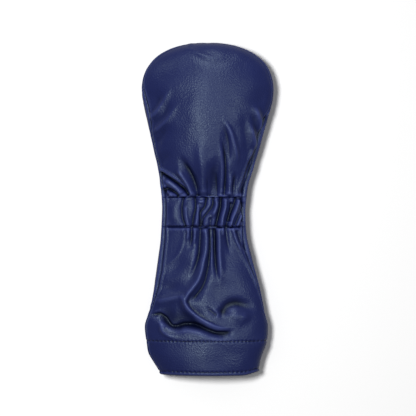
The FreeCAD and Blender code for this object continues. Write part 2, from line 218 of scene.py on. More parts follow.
# Folds of the back: rolls stand up softly, dips sink softly, creases are sharp. Each is its height or
# depth in mm, its width to the left and to the right of its run, the shares of the run that fade in and
# out, and the places, in mm, that it runs through.
folds = {
    "crown": {
        "rolls": [
            (0.8, 3.0, 2.2, 0.3, 0.5, [(-27, 160.5), (-17, 158), (-8, 153.5), (0, 150.5), (10, 148.5),
                                       (22, 148)]),
            (0.6, 1.6, 1.6, 0.4, 0.4, [(-21, 162), (-13, 165)]),
        ],
        "dips": [
            (0.45, 2.4, 4.6, 0.4, 0.5, [(-16, 153), (-2, 146.5), (10, 144), (24, 144)]),
            (1.5, 7, 9, 0.5, 0.5, [(-60, 120), (-52, 111), (-44, 106), (-34, 106)]),
            (1.4, 6, 8, 0.5, 0.5, [(60, 126), (56, 115), (52, 104), (49, 94)]),
        ],
    },
    "head": {
        "rolls": [
            (1.7, 2.8, 3.4, 0.2, 0.6, [(-60, 89), (-55, 93), (-50, 98), (-45.5, 105), (-41, 113),
                                       (-36, 124)]),
            (1.4, 2.8, 3.4, 0.2, 0.6, [(-58, 76), (-53, 78), (-47, 82), (-40, 89), (-34, 98),
                                       (-28, 110)]),
            (0.7, 4.0, 4.0, 0.3, 0.5, [(-53, 48), (-49, 54), (-43, 64), (-38, 76)]),
            (2.3, 3.0, 4.0, 0.4, 0.3, [(46, 106), (49, 97), (51.5, 88), (54, 80), (56.5, 74)]),
            (2.9, 2.6, 4.2, 0.4, 0.3, [(42, 88), (44.5, 77), (47, 66), (49.5, 56)]),
            (0.7, 6.0, 6.0, 0.5, 0.5, [(27, 100), (30, 90), (32, 80)]),
            (0.8, 12.0, 12.0, 0.5, 0.5, [(-15, 122), (-15, 105), (-14, 85), (-12, 60)]),
            (1.7, 2.6, 1.6, 0.2, 0.2, [(47, 64), (42.5, 52), (37, 38), (32.5, 24), (30, 14)]),
            (1.8, 2.4, 3.0, 0.4, 0.3, [(13, 93), (18.6, 85), (23.5, 75), (26.7, 64), (29, 53),
                                       (29.5, 40)]),
        ],
        "dips": [
            (1.1, 3.2, 3.6, 0.3, 0.6, [(-60, 82), (-52, 87), (-45, 93), (-39, 102), (-34, 114)]),
            (1.3, 4.5, 5.0, 0.3, 0.5, [(-56, 64), (-50, 69), (-44, 76), (-38, 86)]),
            (1.0, 4.5, 5.0, 0.3, 0.5, [(-50, 42), (-44, 49), (-38, 58)]),
            (1.1, 3, 4, 0.4, 0.3, [(44, 100), (47, 89), (50, 77), (53, 68)]),
            (0.8, 3.5, 4, 0.4, 0.4, [(36, 98), (37.5, 84), (39, 70), (39, 56), (37, 44)]),
            (2.4, 2.4, 2.8, 0.3, 0.1, [(48, 58), (41, 43), (36.5, 27), (33, 13)]),
        ],
        "creases": [
            (3.0, 1.6, 1.3, 0.1, 0.35, [(61, 95.5), (58, 90), (54, 79.5), (50.4, 67), (47.2, 54),
                                        (43, 40), (39, 20)]),
        ],
    },
    "aboveNeck": {
        "rolls": [
            (1.3, 2.4, 2.4, 0.3, 0.1, [(11.5, 68), (14, 52), (14.8, 38), (14.4, 24), (14, 13)]),
            (2.6, 6.0, 5.5, 0.5, 0.1, [(-8, 74), (-6, 48), (-4.4, 32), (-4, 13)]),
            (2.8, 2.6, 2.6, 0.3, 0.1, [(-32, 42), (-26.4, 34.6), (-22, 28), (-17.6, 20), (-14.8, 12.5)]),
            (1.5, 1.6, 5.0, 0.1, 0.2, [(-48, 41), (-41, 37), (-33, 31.5), (-26, 26), (-21, 20)]),
            (1.9, 2.4, 2.2, 0.25, 0.1, [(-44, 29.5), (-38, 26), (-31, 20.5), (-25, 15)]),
            (1.6, 1.8, 1.8, 0.3, 0.1, [(-38, 16.5), (-34, 13)]),
            (2.3, 2.8, 2.4, 0.5, 0.1, [(23, 38), (22, 25), (21, 13.5)]),
        ],
        "dips": [
            (3.4, 6.0, 5.5, 0.5, 0.02, [(7, 54), (7.4, 42), (6, 30), (4.8, 12)]),
            (1.9, 2.0, 5.0, 0.4, 0.3, [(13, 88), (18, 77), (20.5, 66), (21.5, 54), (21, 42)]),
            (4.2, 3.4, 3.6, 0.4, 0.02, [(-29, 54), (-20, 40), (-14.6, 30), (-11.2, 21), (-9.6, 12)]),
            (2.0, 2.0, 2.2, 0.4, 0.05, [(28, 38), (26.6, 24), (25.6, 12)]),
        ],
        "creases": [
            (3.0, 1.7, 2.6, 0.45, 0.05, [(12, 76), (16.6, 60), (18.3, 47), (18.3, 31), (16.4, 12)]),
            (1.3, 1.4, 1.6, 0.4, 0.05, [(-0.6, 34), (0.2, 24), (0.4, 12)]),
            (1.5, 1.4, 1.6, 0.4, 0.05, [(8.8, 38), (9.2, 26), (9.4, 12)]),
            (6.0, 1.1, 1.8, 0.12, 0.03, [(-49.5, 38), (-44, 34), (-37.5, 30), (-31, 25.7), (-24, 20),
                                         (-18.4, 13)]),
            (4.4, 1.1, 1.4, 0.15, 0.03, [(-43.5, 21), (-36.5, 18.5), (-31, 14.8), (-29, 12)]),
            (3.4, 1.1, 1.3, 0.15, 0.03, [(-45, 21.5), (-42, 16.5), (-39.5, 12.5)]),
        ],
    },
    "neckBand": {
        "rolls": [
            (1.6, 1.6, 2.6, 0.2, 0.02, [(-21.5, 4), (-20.8, -6), (-19.2, -18)]),
            (1.8, 1.6, 1.6, 0.15, 0.1, [(-10, 6), (-9.6, -2), (-10, -9), (-11.5, -17)]),
            (1.6, 1.8, 1.6, 0.3, 0.3, [(-10, 7.4), (-6, 7.2), (-2.5, 8)]),
            (2.2, 1.6, 2.0, 0.05, 0.25, [(8, 11), (9.3, 4.6), (7, -3.2), (4.4, -8)]),
            (2.4, 1.4, 1.9, 0.05, 0.02, [(18, 11), (17.6, 1.2), (15.3, -7.7), (14, -18)]),
            (2.6, 1.3, 1.7, 0.05, 0.02, [(31.6, 10), (28.2, -1), (24.2, -11), (22.8, -18)]),
            (2.0, 1.3, 1.5, 0.2, 0.02, [(34, -5), (29.4, -17)]),
            (0.7, 5, 5, 0.3, 0.3, [(-34, 8), (-34, -14)]),
        ],
        "dips": [
            (1.8, 2.2, 2.2, 0.3, 0.1, [(3, -7), (3, -11), (2.6, -18)]),
            (2.0, 2.4, 2.2, 0.02, 0.02, [(13.4, 12), (12.8, 3.4), (10.3, -7.7), (7.8, -18)]),
        ],
        "creases": [
            (2.8, 1.5, 1.5, 0.02, 0.02, [(-24.2, 12), (-25.8, 1.2), (-25.3, -8), (-21.8, -18)]),
            (3.2, 1.5, 1.7, 0.02, 0.02, [(-13, 12), (-12, 1.2), (-14.2, -8), (-15.4, -18)]),
            (3.2, 1.6, 1.3, 0.02, 0.02, [(-0.8, 12), (-2.8, 2.6), (-7, -3.2), (-7.4, -10), (-7, -18)]),
            (2.8, 1.4, 1.2, 0.02, 0.05, [(5.8, 12), (4.8, 3.4), (0.3, -3.2), (-4.4, -9.5), (-5.6, -17)]),
            (2.4, 1.6, 1.5, 0.02, 0.02, [(13.9, 12), (13.3, 3.4), (10.8, -7.7), (8.3, -18)]),
            (2.8, 1.4, 1.6, 0.1, 0.02, [(24, 8), (22.5, -2), (20.4, -10), (18.8, -18)]),
            (3.0, 1.3, 1.4, 0.02, 0.05, [(28.5, 12), (26.3, 4), (23.2, -5), (21.2, -13)]),
            (2.4, 1.1, 1.2, 0.05, 0.05, [(33, 12), (35, 3), (31.5, -7), (27.6, -17)]),
            (1.8, 1.0, 1.2, 0.1, 0.1, [(35.6, 8), (36.6, -2), (34, -14)]),
        ],
    },
    "belowNeck": {
        "rolls": [
            (1.8, 1.5, 1.8, 0.03, 0.5, [(-19.2, -18.5), (-19.2, -25), (-21, -34)]),
            (2.2, 1.6, 2.2, 0.03, 0.5, [(-12.4, -18.5), (-12.4, -26), (-14, -38)]),
            (3.6, 2.0, 4.4, 0.02, 0.25, [(-1.8, -18.5), (-0.8, -30), (-1.4, -42), (-3.6, -52),
                                         (-5.8, -62.7), (-9.2, -71.6), (-14.7, -79.5), (-20, -86.5),
                                         (-22, -92), (-19.7, -98), (-13.6, -104.4), (-4.7, -110.4),
                                         (4.2, -114.9), (13, -117.8), (24, -118)]),
            (1.2, 1.4, 1.5, 0.15, 0.4, [(4.8, -26), (4.6, -38), (4.2, -50), (3.8, -62)]),
            (1.7, 3.0, 11.0, 0.4, 0.5, [(-12, -28), (-12.5, -42), (-15, -55), (-19, -66)]),
            (2.8, 4.0, 2.2, 0.03, 0.5, [(10.4, -18.5), (11.4, -30), (11.6, -44), (13, -60), (15, -76)]),
            (1.2, 1.4, 1.4, 0.03, 0.4, [(15.4, -18.5), (15.6, -28)]),
            (2.0, 1.9, 1.8, 0.03, 0.5, [(24.6, -18.5), (28, -30), (33, -41.6), (38, -52)]),
            (0.8, 1.0, 1.4, 0.3, 0.2, [(33, -41.6), (40.8, -58), (48.6, -73.8), (52.5, -82)]),
        ],
        "dips": [
            (2.0, 2.0, 1.5, 0.03, 0.5, [(-16, -18), (-16, -28), (-18.5, -42)]),
            (3.0, 2.8, 2.3, 0.03, 0.5, [(-6.8, -18), (-7.6, -33), (-9.6, -49), (-13.5, -61), (-19, -74)]),
            (3.0, 1.9, 2.6, 0.03, 0.4, [(7.6, -18), (7.8, -36), (8.4, -54), (10.5, -76)]),
            (2.0, 2.4, 2.2, 0.03, 0.5, [(18, -18), (20, -32), (23, -48)]),
            (1.5, 1.6, 2.2, 0.1, 0.3, [(29, -20), (33.5, -32), (38.5, -43)]),
        ],
        "creases": [
            (3.1, 3.2, 2.0, 0.02, 0.12, [(2.4, -18.5), (2.9, -34), (2.4, -44), (-0.2, -62), (-4.6, -76),
                                         (-11.4, -85.5), (-18, -92.5)]),
            (1.2, 1.2, 1.2, 0.1, 0.4, [(7.2, -18.5), (7.3, -34), (7.6, -50)]),
        ],
    },
    "skirt": {
        "rolls": [
            (0.5, 0.9, 3.0, 0.1, 0.4, [(-22.5, -20), (-23.8, -32), (-27.5, -43), (-36, -53), (-44, -57),
                                       (-50, -60)]),
            (0.6, 8, 8, 0.4, 0.4, [(24, -50), (30, -66), (34, -80)]),
            (1.8, 3.2, 5.0, 0.25, 0.15, [(-55, -93), (-46, -91.2), (-38, -89.6), (-29, -87.6),
                                         (-21, -86)]),
            (1.5, 3.0, 2.6, 0.3, 0.4, [(-54, -110), (-49, -109.5), (-46, -114), (-44.6, -121),
                                       (-38, -126), (-26, -127)]),
            (1.3, 5.0, 4.5, 0.4, 0.4, [(-24, -122), (-14, -121), (-2, -125), (12, -129), (26, -128)]),
            (2.2, 5, 8, 0.4, 0.4, [(19, -108), (28, -106), (37, -108), (43, -113)]),
        ],
        "dips": [
            (1.0, 5.0, 7.0, 0.5, 0.5, [(-24, -44), (-31, -58), (-38, -63), (-47, -68)]),
            (1.6, 6.0, 5.5, 0.5, 0.5, [(-22, -74), (-32, -77), (-42, -79), (-52, -79)]),
            (1.9, 18.0, 8.0, 0.5, 0.4, [(6, -66), (8, -78), (10, -90), (12, -101)]),
            (5.6, 14, 4.5, 0.25, 0.35, [(-54, -102), (-45, -109), (-35, -114.5), (-22, -113),
                                        (-10, -115.5), (2, -120.5)]),
            (2.2, 1.5, 2.4, 0.25, 0.1, [(-58, -109), (-53.5, -105.2), (-48.6, -104), (-43.2, -107.4),
                                        (-39.5, -112.5), (-37, -115.6), (-31, -116.2)]),
            (4.2, 2.4, 5.5, 0.15, 0.2, [(-38, -115.5), (-33, -116.6), (-24.7, -114), (-14.7, -114),
                                        (-7, -116.2), (0, -119.4), (8.6, -122.4), (17.5, -122.8),
                                        (28, -121.4)]),
            (4.4, 5.0, 4.4, 0.2, 0.5, [(9.4, -107), (12.6, -105), (15.8, -101), (19.8, -96.4),
                                       (27, -93.6), (35.5, -95), (43, -98.5), (50, -103)]),
        ],
        "creases": [
            (1.5, 1.4, 2.0, 0.5, 0.1, [(-2, -96), (4, -101.5), (9.5, -106)]),
            (1.5, 1.9, 2.1, 0.2, 0.25, [(-35, -116), (-24.7, -113.7), (-14.7, -113.6), (-7, -115.8),
                                        (0, -119), (8.6, -122), (17.5, -122.4), (26, -121.8)]),
        ],
    },
}


def denser(points, each=6):
    # A smooth run of points through the chosen ones.
    points = np.array(points, float)
    length = np.concatenate([[0], np.cumsum(np.hypot(*np.diff(points, axis=0).T))])
    at = np.linspace(0, length[-1], (len(points) - 1) * each + 1)
    if len(points) < 3:
        return np.stack([np.interp(at, length, points[:, n]) for n in (0, 1)], 1)
    return np.stack([smoothThrough(length, points[:, n], at) for n in (0, 1)], 1)


foldShape = {
    "creaseRadius": 0.75,       # at the bottom of a crease
    "turnOver": 0.6,            # how far beside its run a fold's left width turns into its right one
    "reach": 4,                 # in widths: further off, a fold is as good as flat
    "leastFade": 0.01,
}


def addFold(total, x, y, kind, fold):
    height, leftWidth, rightWidth, fadeIn, fadeOut, points = fold
    path = denser(points)
    reach = foldShape["reach"] * max(leftWidth, rightWidth)
    near = ((x > path[:, 0].min() - reach) & (x < path[:, 0].max() + reach)
            & (y > path[:, 1].min() - reach) & (y < path[:, 1].max() + reach))
    if not near.any():
        return
    px, py = x[near], y[near]
    best = np.full(px.shape, 1e9)
    side, along = np.zeros(px.shape), np.zeros(px.shape)
    lengths = np.hypot(*np.diff(path, axis=0).T)
    start = np.concatenate([[0], np.cumsum(lengths)])
    for n, length in enumerate(lengths):
        dx, dy = (path[n + 1] - path[n]) / length
        rx, ry = px - path[n, 0], py - path[n, 1]
        t = np.clip(rx * dx + ry * dy, 0, length)
        distance = np.hypot(rx - t * dx, ry - t * dy)
        closer = distance < best
        best = np.where(closer, distance, best)
        side = np.where(closer, dx * ry - dy * rx, side)
        along = np.where(closer, (start[n] + t) / start[-1], along)
    lean = smoothStep(-foldShape["turnOver"], foldShape["turnOver"], side)
    width = rightWidth + (leftWidth - rightWidth) * lean
    least = foldShape["leastFade"]
    fade = smoothStep(0, max(fadeIn, least), along) * smoothStep(0, max(fadeOut, least), 1 - along)
    if kind == "creases":
        radius = foldShape["creaseRadius"]
        shape = -np.exp(-(np.sqrt(best**2 + radius**2) - radius) / width)
    else:
        shape = np.exp(-(best / width) ** 2) * (1 if kind == "rolls" else -1)
    total[near] += height * fade * shape


# Spun polyester thread: a hard-twisted cord whose two plies show as slanting ridges.
thread = {
    "colour": "#060920", "ply": "#0E1336", "twist": 9.0, "plyDepth": 0.05,
    "radius": 0.36, "sunk": 0.12, "wobble": (0.05, 0.05, 0.07),
    "neckPitch": 3.2, "hemPitch": 3.9, "rimPitch": 4.3,
    "share": 0.78,              # of its pitch that a stitch covers
    "pathStep": 0.9,            # between the points of a row's path
    "clearOfSeam": 1.5,         # where the neck's rows stop
}

gather = {
    "fadeIn": 4.0,              # from the side seams to where the gathers are full
    "rowDepth": 1.9,            # how deep the neck's stitch rows pull in
    "rowWidth": 1.2,
    "rowSeeds": (11, 12),
    "pucker": 0.5,              # small waves that the thread draws up beside them
    "puckerPitch": 5.5,
    "puckerReach": 4.5,
    "puff": 1.5,                # how far the head's leather swells over the upper row
    "puffWidth": 5.0,
    "puffPlace": 4.0,
    "bandPuff": 1.0,            # and the band between the rows
    "seamDepth": 1.0,
    "seamWidth": 1.0,
    "seamRoll": 0.5,            # swelling beside the seam, over its turned edges
    "seamRollPlace": 2.4,
    "seamRollWidth": 1.3,
    "tuck": 2.3,                # how far the front lies under the back along the right seam
    "tuckPlace": 1.0,
    "tuckWidth": 3.0,
    "tuckFrom": (40.0, 52.0),   # where it begins and is full, along the cover
    "tuckTo": (97.0, 88.0),     # and where it ends and is full
    "holeWave": 0.4,            # how strongly the hem's rows wave, deepest at the needle's holes
    "hemRowDepth": 1.2,
    "hemRowWidth": 0.9,
    "rimRowDepth": 0.9,
    "rimSwell": 0.7,            # of the turned edge below the lower row
    "rimSwellWidth": 1.5,
    "hide": 0.22,               # slow unevenness of the hide over its padding
    "hideSize": 11.0,
    "hideSeed": 5,
    "frontApart": 40.0,         # so that the front isn't uneven in the same places
    "backFrom": (-0.05, 0.3),   # sine of the angle where the back's folds begin and are full
    "tipFade": 8.0,             # half width under which the relief dies away at the crown's tip
}


def slowNoise(x, y, size, seed):
    # Smooth unevenness between -1 and 1, the same on every run.
    cells = 64
    values = np.random.default_rng(seed).uniform(-1, 1, (cells, cells))
    u, v = x / size + cells / 2, y / size + cells / 2
    i, j = np.floor(u).astype(int), np.floor(v).astype(int)
    s, t = u - i, v - j
    s, t = s * s * (3 - 2 * s), t * t * (3 - 2 * t)
    i, j = i % cells, j % cells
    k, m = (i + 1) % cells, (j + 1) % cells
    return ((values[i, j] * (1 - s) + values[k, j] * s) * (1 - t)
            + (values[i, m] * (1 - s) + values[k, m] * s) * t)


def foldHeight(x, y):
    total = np.zeros(x.shape)
    for group in folds.values():
        for kind, made in group.items():
            for fold in made:
                addFold(total, x, y, kind, fold)
    return total


def bump(distance, width):
    return np.exp(-(distance / width) ** 2)


def reliefAt(angle, y):
    # Height of the leather above the smooth cover.
    x = loopPoint(angle, y)[..., 0]
    rightSeam, leftSeam = seamAngles(y)
    half, back, front = section(y)[1:]
    tall = np.where(np.sin(angle) > 0, back, front)
    perRadian = np.hypot(half * np.sin(angle), tall * np.cos(angle))
    turn = np.minimum(np.minimum(np.abs(angle - rightSeam), np.abs(angle - leftSeam)),
                      np.abs(angle - rightSeam - 2 * math.pi))
    fromSeam = turn * perRadian
    total = foldHeight(x, y) * smoothStep(*gather["backFrom"], np.sin(angle))
    apart = gather["frontApart"] * (np.sin(angle) < 0)
    total += gather["hide"] * slowNoise(x + apart, y, gather["hideSize"], gather["hideSeed"])
    inBack = np.where((angle > rightSeam) & (angle < leftSeam), fromSeam, 0)
    gathered = smoothStep(0, gather["fadeIn"], inBack)
    for row, seed in zip((neckHigh, neckLow), gather["rowSeeds"]):
        waves = slowNoise(x, 0 * y, gather["puckerPitch"] * 0.5, seed) * bump(y - row, gather["puckerReach"])
        drawn = gather["rowDepth"] * bump(y - row, gather["rowWidth"])
        total += gathered * (gather["pucker"] * waves - drawn)
    puffed = bump(y - upperRow - gather["puffPlace"], gather["puffWidth"])
    total += gathered * gather["puff"] * puffed * (y > upperRow)
    reach = np.clip(np.abs(y - (upperRow + lowerRow) / 2) / ((upperRow - lowerRow) / 2), 0, 1)
    total += gathered * gather["bandPuff"] * (1 - reach**4)
    total -= gather["seamDepth"] * bump(fromSeam, gather["seamWidth"])
    total += gather["seamRoll"] * bump(fromSeam - gather["seamRollPlace"], gather["seamRollWidth"])
    belowRight = (angle < rightSeam) | (angle > rightSeam + 1.5 * math.pi)
    onFront = np.where(belowRight, bump(fromSeam - gather["tuckPlace"], gather["tuckWidth"]), 0)
    ends = smoothStep(*gather["tuckFrom"], y) * smoothStep(*gather["tuckTo"], y)
    total -= gather["tuck"] * onFront * ends
    wave = gather["holeWave"]
    for row, depth, pitch in ((hemRow, gather["hemRowDepth"], thread["hemPitch"]),
                              (rimRow, gather["rimRowDepth"], thread["rimPitch"])):
        pull = (1 - wave) + wave * np.cos(2 * math.pi * x / pitch)
        total -= depth * pull * bump(y - row, gather["hemRowWidth"])
    total += gather["rimSwell"] * bump(y - (rimRow + rimPlace) / 2, gather["rimSwellWidth"])
    return total * smoothStep(0, gather["tipFade"], half)


def rimShift(x, y):
    # The rim isn't square to the cover: its right end lies further up.
    rise = smoothStep(cover["rimDropFrom"], cover["rimDropTo"], x) ** cover["rimDropPower"]
    return cover["rimDrop"] * rise * smoothStep(hemRow, rimPlace, y)


def coverPoint(angle, y, inset, relief):
    # A point of the cover so far inside its leather's face, with its folds.
    point = loopPoint(angle, y) + loopNormal(angle, y) * (relief - inset)[..., None]
    point[..., 2] = settle(point[..., 2], inset)
    point[..., 1] += rimShift(point[..., 0], y)
    return point


def rowPlaces(low, high, spacing):
    # Rows evenly spaced along the outline, closer together where the crown turns in.
    samples = cover["samples"]
    if high > cover["crownFrom"]:
        tip = crownPlace - 1e-6
        turn = np.sin(np.linspace(0, math.pi / 2, samples))
        fine = np.concatenate([np.linspace(low, cover["crownFrom"], samples)[:-1],
                               cover["crownFrom"] + (tip - cover["crownFrom"]) * turn])
    else:
        fine = np.linspace(low, high, samples)
    half = section(fine)[1]
    length = np.concatenate([[0], np.cumsum(np.hypot(np.diff(fine), np.diff(half)))])
    count = max(2, int(round(length[-1] / spacing)) + 1)
    return np.interp(np.linspace(0, length[-1], count), length, fine)


def angleGrid(places, side, spacing, trim=0.0):
    # One row of angles for each place, over a side, half the section, all round it or along a seam.
    # The trim leaves that much free beside both ends, and a negative one reaches past them.
    rightSeam, leftSeam = seamAngles(places)
    flat, full = 0 * places, 2 * math.pi
    first, last = {"back": (rightSeam, leftSeam), "front": (leftSeam, rightSeam + full),
                   "loop": (rightSeam, rightSeam + full), "upper": (flat, flat + math.pi),
                   "lower": (flat + math.pi, flat + full), "rightTape": (rightSeam, rightSeam),
                   "leftTape": (leftSeam, leftSeam)}[side]
    back = section(places)[2]
    mostTrim = 0.45 * math.pi
    edge = np.minimum(trim / np.maximum(back, 1), mostTrim)
    first, last = first + edge, last - edge
    samples = first[:, None] + (last - first)[:, None] * np.linspace(0, 1, cover["loopSamples"])
    points = loopPoint(samples, places[:, None])
    steps = np.hypot(np.diff(points[..., 0], axis=1), np.diff(points[..., 2], axis=1)) + 1e-9
    length = np.concatenate([np.zeros((len(places), 1)), np.cumsum(steps, axis=1)], 1)
    count = int(round(length[:, -1].max() / spacing)) + 1
    return np.stack([np.interp(np.linspace(0, run[-1], count), run, row)
                     for run, row in zip(length, samples)])


def addObject(name, data):
    piece = bpy.data.objects.new(name, data)
    bpy.context.scene.collection.objects.link(piece)
    return piece


def meshObject(name, points, faces, material):
    mesh = bpy.data.meshes.new(name)
    mesh.from_pydata([tuple(p) for p in np.asarray(points) * mm], [], faces)
    mesh.materials.append(material)
    mesh.polygons.foreach_set("use_smooth", np.ones(len(mesh.polygons), bool))
    return addObject(name, mesh)


def gridFaces(rows, columns, first, flip, wrap):
    faces = []
    for r in range(rows - 1):
        for c in range(columns if wrap else columns - 1):
            a, b = first + r * columns + c, first + r * columns + (c + 1) % columns
            faces.append((a, a + columns, b + columns, b) if flip else (a, b, b + columns, a + columns))
    return faces


def closeUp(piece):
    # Merges what meets, drops what is left without area and turns the faces outwards.
    meets, noArea = 0.01 * mm, 0.005 * mm
    work = bmesh.new()
    work.from_mesh(piece.data)
    bmesh.ops.remove_doubles(work, verts=work.verts, dist=meets)
    bmesh.ops.dissolve_degenerate(work, edges=work.edges, dist=noArea)
    loose = [v for v in work.verts if not v.link_faces]
    bmesh.ops.delete(work, geom=loose, context="VERTS")
    bmesh.ops.recalc_face_normals(work, faces=work.faces)
    work.to_mesh(piece.data)
    work.free()
    piece.data.update()


def shell(name, outer, inner, material, wrap=False):
    # A closed skin between two grids of points; rows run along the cover and columns round it.
    rows, columns = outer.shape[:2]
    size = rows * columns
    faces = gridFaces(rows, columns, 0, True, wrap) + gridFaces(rows, columns, size, False, wrap)
    top = (rows - 1) * columns
    for c in range(columns if wrap else columns - 1):
        d = (c + 1) % columns
        faces.append((c, d, size + d, size + c))
        faces.append((top + d, top + c, size + top + c, size + top + d))
    for r in range(0 if wrap else rows - 1):
        a, b = r * columns, (r + 1) * columns
        faces.append((b, a, size + a, size + b))
        a, b = a + columns - 1, b + columns - 1
        faces.append((a, b, size + b, size + a))
    points = np.concatenate([outer.reshape(-1, 3), inner.reshape(-1, 3)])
    return meshObject(name, points, faces, material)


def finishPiece(piece, slotName, *nodes):
    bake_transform(piece)
    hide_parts(*nodes)
    print("  %s: %d faces" % (piece.name, len(piece.data.polygons)))


def linear(hexColour):
    values = [int(hexColour[n:n + 2], 16) / 255 for n in (1, 3, 5)]
    return [v / 12.92 if v < 0.04045 else ((v + 0.055) / 1.055) ** 2.4 for v in values] + [1.0]


def addNode(tree, kind, settings=None, **links):
    # A node with its settings, each input set to a value or linked from another node's socket.
    node = tree.nodes.new(kind)
    for name, value in (settings or {}).items():
        setattr(node, name, value)
    for name, value in links.items():
        socket = node.inputs[int(name[2:])] if name[:2] == "at" else node.inputs[name.replace("_", " ")]
        if isinstance(value, bpy.types.NodeSocket):
            tree.links.new(value, socket)
        else:
            socket.default_value = value
    return node


def newMaterial(name):
    material = bpy.data.materials.new(name)
    material.use_nodes = True
    material.node_tree.nodes.clear()
    return material, material.node_tree


# Coated split leather, embossed with a pebble grain. The coating gives a soft, slightly cool sheen, broken
# up by the pebbles; crests are rubbed paler and painted lighter as a highlight, hollows and deep folds are
# painted darker as shade. The grain is drawn a few times coarser than it really is, so that it shows.
leather = {
    # The darkest colour here is painted shade, laid in hollows and deep folds.
    "dye": "#1E2558", "faded": "#262E68", "wornAndLit": "#46508C", "paintedShade": "#040829", "sheen": "#D9F3FF",
    "ior": 1.45, "grain": 1.4, "grainDepth": 0.36, "grainStrength": 0.5, "blotchSize": 34.0,
    "creaseSize": 2.6, "creaseShare": 0.6, "deepRougher": 0.06,
    # where each of these starts and ends, and what it is there
    "wearAndHighlight": (0.12, 0.9, 0.0, 0.8),          # rubbed paler and painted as a highlight on crests, by how far they stand out in mm
    "hollowShade": (-0.1, -0.9, 0.0, 0.9),        # painted shade in what lies lower than its surroundings
    "sink": (-1.0, -5.0, 0.0, 0.6),         # painted shade in deep folds
    "patch": (0.35, 0.7, 0.0, 0.25),        # faded blotches
    "polish": (0.3, 0.7, 0.30, 0.39),       # roughness
}


def makeLeather(name, values):
    material, tree = newMaterial(name)
    place = addNode(tree, "ShaderNodeTexCoord").outputs["Object"]
    pebbles = addNode(tree, "ShaderNodeTexVoronoi", {"feature": "SMOOTH_F1"}, Vector=place,
                      Scale=1 / (values["grain"] * mm), Smoothness=0.35, Randomness=0.9)
    creases = addNode(tree, "ShaderNodeTexNoise", Vector=place, Scale=1 / (values["creaseSize"] * mm),
                      Detail=3.0, Roughness=0.6)
    blotch = addNode(tree, "ShaderNodeTexNoise", Vector=place, Scale=1 / (values["blotchSize"] * mm),
                     Detail=4.0, Roughness=0.55)
    grain = addNode(tree, "ShaderNodeMath", {"operation": "MULTIPLY_ADD"}, at0=creases.outputs["Fac"],
                    at1=values["creaseShare"], at2=pebbles.outputs["Distance"])
    surface = addNode(tree, "ShaderNodeBump", Strength=values["grainStrength"],
                      Distance=values["grainDepth"] * mm, Height=grain.outputs[0])
    height = addNode(tree, "ShaderNodeAttribute", {"attribute_name": "relief"})
    crest = addNode(tree, "ShaderNodeAttribute", {"attribute_name": "crest"})
    amounts = {}
    for label, source in (("wearAndHighlight", crest), ("hollowShade", crest), ("sink", height), ("patch", blotch),
                          ("polish", blotch)):
        start, end, atStart, atEnd = values[label]
        amounts[label] = addNode(tree, "ShaderNodeMapRange", Value=source.outputs["Fac"], at1=start, at2=end,
                                 at3=atStart, at4=atEnd).outputs[0]
    # painted shade: hollows and deep folds together darken the leather
    amounts["depth"] = addNode(tree, "ShaderNodeMath", {"operation": "ADD", "use_clamp": True},
                               at0=amounts["hollowShade"], at1=amounts["sink"]).outputs[0]
    colour = linear(values["dye"])
    # the dye, faded in random blotches, then paler on crests (rubbed wear and painted highlight), then darker
    # in hollows and deep folds (painted shade)
    for label, shade in (("patch", "faded"), ("wearAndHighlight", "wornAndLit"), ("depth", "paintedShade")):
        colour = addNode(tree, "ShaderNodeMix", {"data_type": "RGBA"}, Factor=amounts[label], at6=colour,
                         at7=linear(values[shade])).outputs[2]
    rough = addNode(tree, "ShaderNodeMath", {"operation": "MULTIPLY_ADD"}, at0=amounts["depth"],
                    at1=values["deepRougher"], at2=amounts["polish"])
    shader = addNode(tree, "ShaderNodeBsdfPrincipled", Base_Color=colour, Roughness=rough.outputs[0],
                     IOR=values["ior"], Normal=surface.outputs[0], Specular_Tint=linear(values["sheen"]))
    addNode(tree, "ShaderNodeOutputMaterial", Surface=shader.outputs[0])
    return material


# The layers inside: light colour, dark colour, size and depth of the pattern in mm, roughness, sheen.
inside = {
    "openCellFoam": ("#D9D6CC", "#A9A698", 0.8, 0.25, 0.95, 0.0),       # pale, matt and pitted all over
    "brushedFleece": ("#6F7484", "#3C4150", 1.6, 0.7, 0.95, 0.6),       # a deep nap, paler at its edges
    "wovenTape": ("#30343F", "#1C1F28", 0.9, 0.12, 0.8, 0.1),           # dark, dull and finely textured
    "knittedElastic": ("#E4E3DE", "#B9B7B0", 0.7, 0.15, 0.85, 0.1),     # off-white, matt and ribbed
    "polyesterFilm": ("#D8DCDD", "#BFC5C8", 6.0, 0.03, 0.35, 0.0),      # smooth, with a faint gloss
}


def makeInside(name, light, dark, size, depth, rough, sheen):
    material, tree = newMaterial(name)
    place = addNode(tree, "ShaderNodeTexCoord").outputs["Object"]
    cells = addNode(tree, "ShaderNodeTexVoronoi", Vector=place, Scale=1 / (size * mm))
    clumps = addNode(tree, "ShaderNodeTexNoise", Vector=place, Scale=1 / (size * 2.5 * mm), Detail=5.0)
    mixed = addNode(tree, "ShaderNodeMath", {"operation": "MULTIPLY"}, at0=cells.outputs["Distance"],
                    at1=clumps.outputs["Fac"])
    colour = addNode(tree, "ShaderNodeMix", {"data_type": "RGBA"}, Factor=mixed.outputs[0],
                     at6=linear(dark), at7=linear(light))
    surface = addNode(tree, "ShaderNodeBump", Strength=0.8, Distance=depth * mm, Height=mixed.outputs[0])
    shader = addNode(tree, "ShaderNodeBsdfPrincipled", Base_Color=colour.outputs[2], Roughness=rough,
                     Sheen_Weight=sheen, Normal=surface.outputs[0])
    addNode(tree, "ShaderNodeOutputMaterial", Surface=shader.outputs[0])
    return material


